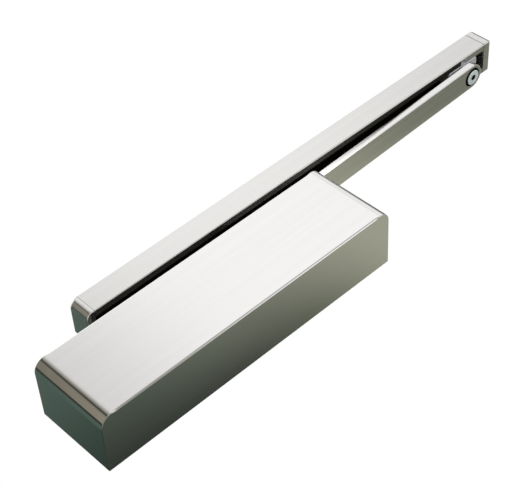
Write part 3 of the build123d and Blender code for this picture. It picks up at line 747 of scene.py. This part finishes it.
def arm_outline(inset):
    """Plan outline of the bar, two half rounds joined by straight sides, pulled in by inset; and its half width."""
    low, high = node_box("arm")
    direction = PIVOT[:2] - SPINDLE[:2]
    turn = math.degrees(math.atan2(direction[1], direction[0]))
    radius = (high[0] - low[0] - abs(direction[0])) / 2 - inset
    far = arc(PIVOT[:2], radius, turn - 90, turn + 90, 24)
    near = arc(SPINDLE[:2], radius, turn + 90, turn + 270, 24)
    return np.vstack([far, near]), radius


def bore_rings(centre, profile, steps=48):
    """Rings about an upright axis from rows of (radius, level, square), as rows of a grid.

    A square ring has its flats at the radius: r / max(|cos a|, |sin a|).
    """
    angle = np.arange(steps) * 2 * np.pi / steps
    around = np.stack([np.cos(angle), np.sin(angle)], 1)
    flats = np.abs(around).max(1, keepdims=True)
    outlines = [centre[:2] + around * radius / (flats if square else 1.0) for radius, level, square in profile]
    return ring_levels(outlines, [row[1] for row in profile])


class CLOSER_OT_arm(Operator):
    """Make the flat arm with its softened edges, its hub and the counterbores of its two screws"""

    bl_idname = "closer.arm"
    bl_label = "Arm"

    def execute(self, context):
        sizes = settings("closer_arm")
        low, high = node_box("arm")
        base, bottom, top, edge = low[2], PIVOT[2], high[2], sizes.edge
        levels = [(i, bottom + h) for i, h in rolled(edge)] + [(i, top - h) for i, h in rolled(edge)[::-1]]
        bar = ring_levels([arm_outline(i)[0] for i, z in levels], [z for i, z in levels])
        screw_low, screw_high = node_box("arm_screw")
        head, seat = (screw_high[0] - screw_low[0]) / 2 + 0.3 * MM, screw_high[2] - 2.0 * MM
        hub, square = arm_outline(0.02 * MM)[1], 5.52 * MM
        spindle_end = [(hub, bottom, False), (hub, base + edge, False), (hub - edge, base, False),
                       (square, base, True), (square, seat, True), (head, seat, False), (head, top, False)]
        recess, floor, hole, chamfer = sizes.recess_radius, bottom + sizes.recess_depth, 5.05 * MM, 0.25 * MM
        pivot_end = [(recess + chamfer, bottom, False), (recess, bottom + chamfer, False), (recess, floor, False),
                     (hole, floor, False), (hole, top, False)]
        points, faces, rims = [], [], []
        for rings in (bar, bore_rings(SPINDLE, spindle_end), bore_rings(PIVOT, pivot_end)):
            rows, columns = rings.shape[:2]
            first, last = len(points), len(points) + (rows - 1) * columns
            points += rings.reshape(-1, 3).tolist()
            faces += grid_faces(rows, columns, close_columns=True, first=first)
            rims.append((range(first, first + columns), range(last, last + columns)))
        for loops in zip(*rims):
            faces += fill(points, *loops)
        piece = crisp(fix_outside(mesh_object("arm_bar", points, faces)), 40)
        dress(piece, "satin_steel", "arm", "arm")
        return {"FINISHED"}


def socket_head(name, node, centre, side, height, key, edge, shank):
    """A cheese head screw with a hexagon socket, in the node's box; side is 1 if its face is below, -1 if above.

    Rings are (radius, depth below the face). All are circles but the socket's, hexagons in polar form:
    r = a / cos(angle mod 60 - 30).
    """
    low, high = node_box(node)
    radius, length, face = (high[0] - low[0]) / 2, high[2] - low[2], (low if side > 0 else high)[2]
    angle = np.arange(72) * 2 * np.pi / 72
    hexagon = key / 2 / np.cos((angle % (np.pi / 3)) - np.pi / 6)
    depth, chamfer, tip = key * 0.55, 0.15 * MM, 0.5 * MM
    profile = [(hexagon * 0.02, depth * 1.12), (hexagon, depth), (hexagon, chamfer), (hexagon + chamfer, 0.0),
               (radius - edge - 0.01 * MM, 0.0)]
    profile += [(radius - edge + edge * math.sin(a), edge * (1 - math.cos(a)))
                for a in np.radians(np.linspace(15, 90, 6))]
    profile += [(radius, height), (shank, height), (shank, length - tip), (shank - tip, length)]
    around = np.stack([-side * np.sin(angle), np.cos(angle)], 1)
    outlines = [centre[:2] + around * np.reshape(reach, (-1, 1)) for reach, level in profile]
    return crisp(stack(name, ring_levels(outlines, [face + side * level for reach, level in profile])), 38)


class CLOSER_OT_pivot(Operator):
    """Make the pivot screw with its hexagon socket, and the arm screw on the spindle"""

    bl_idname = "closer.pivot"
    bl_label = "Pivot and arm screws"

    def execute(self, context):
        key = settings("closer_arm").key_width
        screw = socket_head("pivot_screw_head", "pivot_screw", PIVOT, 1, 4.2 * MM, key, 0.5 * MM, 4.0 * MM)
        dress(screw, "plated_screw", "slider", "pivot_screw")
        cap = socket_head("arm_screw_cap", "arm_screw", SPINDLE, -1, 2.0 * MM, 3.2 * MM, 0.4 * MM, 3.0 * MM)
        dress(cap, "zinc_steel", "arm", "arm_screw")
        return {"FINISHED"}


# The track, its caps and the slide block


class CLOSER_OT_slide_block(Operator):
    """Make the moulded slide block, a neck in the slot under a wider head, all edges rounded"""

    bl_idname = "closer.slide_block"
    bl_label = "Slide block"

    def execute(self, context):
        low, high = node_box("slide_block")
        centre = ((low[0] + high[0]) / 2, (low[1] + high[1]) / 2)
        length, step, curve = high[0] - low[0], high[2] - 7.0 * MM, rolled(0.6 * MM)
        neck, head = (17.8 * MM, 1.99 * MM), (high[1] - low[1], 3.99 * MM)
        levels = [(i, *neck, low[2] + h) for i, h in curve] + [(0.0, *neck, step)]
        levels += [(i, *head, step + h) for i, h in curve] + [(i, *head, high[2] - h) for i, h in curve[::-1]]
        outlines = [rounded_rectangle(centre, length - 2 * i, width - 2 * i, corner)
                    for i, width, corner, z in levels]
        piece = crisp(stack("slide_block_moulding", ring_levels(outlines, [row[-1] for row in levels])), 40)
        dress(piece, "acetal", "slider", "slide_block")
        return {"FINISHED"}


class CLOSER_OT_end_caps(Operator):
    """Make the two moulded end caps, rounded from the front to the end, with a fine joint to the track"""

    bl_idname = "closer.end_caps"
    bl_label = "End caps"

    def execute(self, context):
        self.cap("end_cap_left", -1, joint=0.25 * MM, corner=5.5 * MM)
        self.cap("end_cap_right", 1, joint=0.5 * MM, corner=1.2 * MM)
        return {"FINISHED"}

    def cap(self, node, side, joint, corner):
        """Plan outline with the round front corner, carried up with its edges rolled over.

        A round of radius r pulls the outline in by r - sqrt(r^2 - d^2), with d the height past the round's start.
        """
        low, high = node_box(node)
        outer, inner = [box[side > 0][0] for box in (node_box(node), node_box("track"))]
        start = inner + side * joint
        edge, top_radius = 0.8 * MM, 3.0 * MM
        angles = np.radians(np.linspace(0, 90, 5))
        rise = np.radians(np.linspace(0, 90, 13))
        heights = np.concatenate([low[2] + edge * (1 - np.cos(angles)), high[2] - top_radius * (1 - np.sin(rise))])
        from_top = np.clip(heights - (high[2] - edge), 0, edge)
        from_low = np.clip(low[2] + edge - heights, 0, edge)
        insets = edge - np.sqrt(edge**2 - np.maximum(from_top, from_low) ** 2)
        over = np.clip(heights - (high[2] - top_radius), 0, top_radius)
        end_insets = np.maximum(insets, top_radius - np.sqrt(top_radius**2 - over**2))
        outlines = [self.plan(start, outer, low[1], high[1], side, corner, *pair)
                    for pair in zip(insets, end_insets)]
        dress(crisp(stack(node + "_moulding", ring_levels(outlines, heights)), 40), "silver_plastic", "track")
        ends = (low[0], start) if side > 0 else (start, high[0])
        tongue = prism(node + "_tongue", self.tongue_section(low, high), *ends)
        dress(crisp(tongue), "silver_plastic", "track", node)

    def tongue_section(self, low, high):
        """Outline across the track of the tongue: a wall inside the channel, left open over the slot."""
        wall, gap = 2.1 * MM, 2.1 * MM
        front, back = low[1] + gap, high[1] - gap
        under, top = low[2] + gap, high[2] - gap
        half, middle = 9.2 * MM, (low[1] + high[1]) / 2
        return [(middle - half, under), (front, under), (front, top), (back, top), (back, under),
                (middle + half, under), (middle + half, under + wall), (back - wall, under + wall),
                (back - wall, top - wall), (front + wall, top - wall), (front + wall, under + wall),
                (middle - half, under + wall)]

    def plan(self, start, outer, front, back, side, radius, inset, end_inset):
        """Outline of one level: sides pulled in by inset, the end by end_inset, the corners round."""
        big, small = max(radius - inset, 0.1 * MM), max(1.2 * MM - inset, 0.05 * MM)
        tip = outer - side * end_inset
        front, back = front + inset, back - inset
        round_front = arc((tip - side * big, front + big), big, 270, 360 if side > 0 else 180, 12)
        round_back = arc((tip - side * small, back - small), small, 0 if side > 0 else 180, 90, 6)
        return np.vstack([[[start, front]], round_front, round_back, [[start, back]]])


# The stage: camera, light, floor

# Right, image down and forward of the photograph's camera, and its place, from the solved perspective
CAMERA_AXES = np.array([[0.72153, 0.05224, -0.69041], [-0.50639, 0.71986, -0.47475], [0.47218, 0.69216, 0.54585]])
CAMERA_PLACE = (-0.44746, -0.77410, -0.55675)


def pale_paint():
    """Matt emulsion on the studio floor: warm white with a fine roller texture."""
    return grained("pale_paint", "#F4F3F1", "#E9E8E5", 0.8, 6.0, 0.2)


def area_light(name, place, target, size, power):
    """A white softbox that lights matt surfaces and isn't mirrored in bright ones."""
    data = bpy.data.lights.new(name, "AREA")
    data.shape = "RECTANGLE"
    data.size, data.size_y = size
    data.energy = power
    light = bpy.data.objects.new(name, data)
    bpy.context.scene.collection.objects.link(light)
    light.location = place
    light.rotation_euler = (Vector(target) - Vector(place)).to_track_quat("-Z", "Y").to_euler()
    light.visible_glossy = False


CARDS = {"paper": "#FFFFFF", "white": "#F0F0F0", "pale": "#D0D0D0", "stone": "#B8B4B0", "grey": "#888880",
         "taupe": "#706C60", "black": "#282824", "green": "#485850", "pale moss": "#A0A090", "moss": "#686C60",
         "dark moss": "#505848", "slate": "#404840", "night": "#282C28"}
# Cards round the object, blending from one to the next, each at its degrees from the front towards the left
UPPER_CARDS = [
    (-180, "slate"), (-150, "black"), (-100, "black"), (-80, "pale"), (-60, "white"), (-48, "pale"), (-40, "white"),
    (-30, "white"), (-25, "pale"), (-15, "stone"), (0, "grey"), (15, "black"), (20, "black"), (25, "taupe"),
    (85, "taupe"), (90, "black"), (100, "black"), (110, "green"), (160, "green"), (180, "slate")]
LOWER_CARDS = [
    (-180, "night"), (-155, "slate"), (-147, "moss"), (-142, "pale moss"), (-137, "moss"), (-95, "taupe"),
    (-35, "grey"), (20, "taupe"), (140, "slate"), (180, "night")]
FAR_CARDS = [
    (-180, "night"), (-150, "night"), (-146, "dark moss"), (-142, "pale moss"), (-137, "moss"), (-95, "taupe"),
    (-35, "taupe"), (180, "night")]
# Colours by the share of the way from straight down to straight up, and from the far left to the far right
SKY_CARDS = [(0.2, "grey"), (0.45, "stone"), (0.65, "pale"), (1.0, "paper")]
TABLE_CARDS = [(0.69, "grey"), (0.74, "white"), (1.0, "paper")]


def studio_world():
    """Light tent of upright cards: white in front, beige at the left, dark green behind and below.

    Ramps over the compass angle, measured from the front towards the left, give the cards above and below
    the level of the object. Behind, what is below passes from far cards to near ones as the direction
    sinks. High up, far down and level with the object the tent is open, and a pale table lies in front.
    What the camera sees directly is plain white paper.
    """
    world = bpy.data.worlds.new("light_tent")
    bpy.context.scene.world = world
    world.use_nodes = True
    tree = world.node_tree
    tree.nodes.clear()
    direction = add(tree, "ShaderNodeTexCoord")
    x, y, z = add(tree, "ShaderNodeSeparateXYZ", {0: direction.outputs["Generated"]}).outputs
    back = add(tree, "ShaderNodeMath", {0: y, 1: -1.0}, operation="MULTIPLY")
    left = add(tree, "ShaderNodeMath", {0: x, 1: -1.0}, operation="MULTIPLY")
    compass = add(tree, "ShaderNodeMath", {0: left, 1: back}, operation="ARCTAN2")
    turn = add(tree, "ShaderNodeMath", {0: compass, 1: 0.5 / math.pi, 2: 0.5}, operation="MULTIPLY_ADD")
    slope = add(tree, "ShaderNodeMath", {0: z, 1: y}, operation="DIVIDE")
    steep = add(tree, "ShaderNodeMath", {0: slope}, operation="ABSOLUTE")
    rise = add(tree, "ShaderNodeMath", {0: z}, operation="ABSOLUTE")
    # Each band goes from 0 to 1, or between its last two values, while its source passes the first two
    fields = ("Value", "From Min", "From Max", "To Min", "To Max")
    band = {name: add(tree, "ShaderNodeMapRange", dict(zip(fields, row))) for name, row in {
        "behind": (y, 0.45, 0.6),
        "before": (y, 0.45, 0.3),
        "front": (y, 0.1, -0.1),
        "beside": (x, -0.35, -0.5),
        "right": (x, -0.5, -0.1),
        "across": (x, -1.0, 1.0),
        "above": (z, -0.12, 0.12),
        "down": (z, -0.57, -0.66),
        "height": (z, -1.0, 1.0),
        "high": (rise, 0.66, 0.78),
        "level": (rise, 0.43, 0.33),
        "dim": (steep, 0.66, 0.79, 0.3, 1.0),
        "nearness": (steep, 0.655, 0.725, -0.8, 1.9),
        "tilt": (z, 0.6, 0.55, 0.84, 1.5),
    }.items()}
    rounds = [(turn, [((angle + 180) / 360, card) for angle, card in cards])
              for cards in (UPPER_CARDS, LOWER_CARDS, FAR_CARDS)]
    upper, lower, far, sky, table = [
        add(tree, "ShaderNodeValToRGB", {"Fac": source}, [(place, CARDS[card]) for place, card in cards])
        for source, cards in (*rounds, (band["height"], SKY_CARDS), (band["across"], TABLE_CARDS))]
    # The upper cards are dimmer behind where the direction is shallow, and at the left front brighter low down
    factor = add(tree, "ShaderNodeMix", {"Factor": band["behind"], "A": 1.0, "B": band["dim"]})
    corner = add(tree, "ShaderNodeMath", {0: band["beside"], 1: band["front"]}, operation="MULTIPLY")
    lift = add(tree, "ShaderNodeMix", {"Factor": corner, "A": 1.0, "B": band["tilt"]})
    scale = add(tree, "ShaderNodeMath", {0: factor, 1: lift}, operation="MULTIPLY")
    upper = add(tree, "ShaderNodeVectorMath", {0: upper, "Scale": scale}, operation="SCALE")
    share = add(tree, "ShaderNodeMix", {"Factor": band["behind"], "A": 1.0, "B": band["nearness"]})
    lower = add(tree, "ShaderNodeMix", {"Factor": share, "A": far, "B": lower}, data_type="VECTOR",
                clamp_factor=False)
    # Cards, then the open sky over and between them, then the table: each mix hides part of what is before it
    gap = add(tree, "ShaderNodeMath", {0: band["level"], 1: band["right"]}, operation="MULTIPLY")
    outside = add(tree, "ShaderNodeMath", {0: band["high"], 1: gap}, operation="MAXIMUM")
    under = add(tree, "ShaderNodeMath", {0: band["down"], 1: band["before"]}, operation="MULTIPLY")
    tent = lower.outputs[1]
    for mask, layer in ((band["above"], upper), (outside, sky), (under, table)):
        tent = add(tree, "ShaderNodeMix", {"Factor": mask, "A": tent, "B": layer}, data_type="VECTOR").outputs[1]
    tent_light = add(tree, "ShaderNodeBackground", {"Color": tent, "Strength": 1.28})
    paper = add(tree, "ShaderNodeBackground", {"Color": (1, 1, 1, 1), "Strength": 1.0})
    seen = add(tree, "ShaderNodeLightPath")
    both = add(tree, "ShaderNodeMixShader", {0: seen.outputs["Is Camera Ray"], 1: tent_light, 2: paper})
    add(tree, "ShaderNodeOutputWorld", {"Surface": both})


class CLOSER_OT_stage(Operator):
    """Set the photograph's camera, the light tent, a soft front light and the pale floor"""

    bl_idname = "closer.stage"
    bl_label = "Stage"

    def execute(self, context):
        stage = settings("closer_stage")
        data = bpy.data.cameras.new("photo_camera")
        data.sensor_fit = "HORIZONTAL"
        data.sensor_width = 36.0
        data.lens = stage.focal_px * data.sensor_width / stage.frame_px
        data.clip_start = 0.05
        camera = bpy.data.objects.new("photo_camera", data)
        context.scene.collection.objects.link(camera)
        right, down, forward = CAMERA_AXES
        turn = Matrix(np.column_stack([right, -down, -forward]).tolist())
        camera.matrix_world = Matrix.Translation(CAMERA_PLACE) @ turn.to_4x4()
        context.scene.camera = camera
        studio_world()
        reach, level = 11.0, -stage.floor_drop
        corners = [(-reach, -reach, level), (reach, -reach, level), (reach, reach, level), (-reach, reach, level)]
        floor = mesh_object("floor", corners, [[0, 1, 2, 3]])
        floor.data.materials.append(pale_paint())
        floor.visible_glossy = False
        area_light("front_softbox", (0.5, -1.6, 0.9), (0.05, 0, 0), (1.4, 1.0), 6.0)
        area_light("low_fill", (0.7, -0.7, -0.6), (0.32, -0.03, 0.05), (0.8, 0.6), 5.0)
        area_light("level_strip", (0.1, -1.5, 0.045), (0.1, -0.03, 0.043), (0.8, 0.12), 16.0)
        context.scene.view_settings.view_transform = "Standard"
        return {"FINISHED"}


class CLOSER_PT_panel(Panel):
    """Buttons for each group of pieces, and the sizes and colours"""

    bl_label = "Door Closer"
    bl_idname = "CLOSER_PT_panel"
    bl_space_type = "VIEW_3D"
    bl_region_type = "UI"
    bl_category = "Door Closer"

    def draw(self, context):
        for operator in OPERATORS:
            self.layout.operator(operator.bl_idname)
        for group in GROUPS:
            box = self.layout.box()
            box.label(text=group)
            owner = getattr(context.scene, group)
            for name in owner.bl_rna.properties.keys():
                if name not in ("rna_type", "name"):
                    box.prop(owner, name)


GROUPS = {
    "closer_cover": CoverSettings,
    "closer_arm": ArmSettings,
    "closer_finish": FinishSettings,
    "closer_stage": StageSettings,
}
OPERATORS = (
    CLOSER_OT_mechanism,
    CLOSER_OT_cover,
    CLOSER_OT_body_fasteners,
    CLOSER_OT_spring,
    CLOSER_OT_arm,
    CLOSER_OT_pivot,
    CLOSER_OT_slide_block,
    CLOSER_OT_end_caps,
    CLOSER_OT_stage,
)


def register():
    for group in GROUPS.values():
        bpy.utils.register_class(group)
    for name, group in GROUPS.items():
        setattr(bpy.types.Scene, name, PointerProperty(type=group))
    for operator in OPERATORS:
        bpy.utils.register_class(operator)
    bpy.utils.register_class(CLOSER_PT_panel)


def unregister():
    bpy.utils.unregister_class(CLOSER_PT_panel)
    for operator in reversed(OPERATORS):
        bpy.utils.unregister_class(operator)
    for name in GROUPS:
        delattr(bpy.types.Scene, name)
    for group in reversed(list(GROUPS.values())):
        bpy.utils.unregister_class(group)


def main():
    register()
    finish = settings("closer_finish")
    FINISH.update({name: getattr(finish, name) for name in FinishSettings.__annotations__})
    for operator in OPERATORS:
        getattr(bpy.ops.closer, operator.bl_idname.removeprefix("closer."))()


if __name__ == "__main__":
    main()
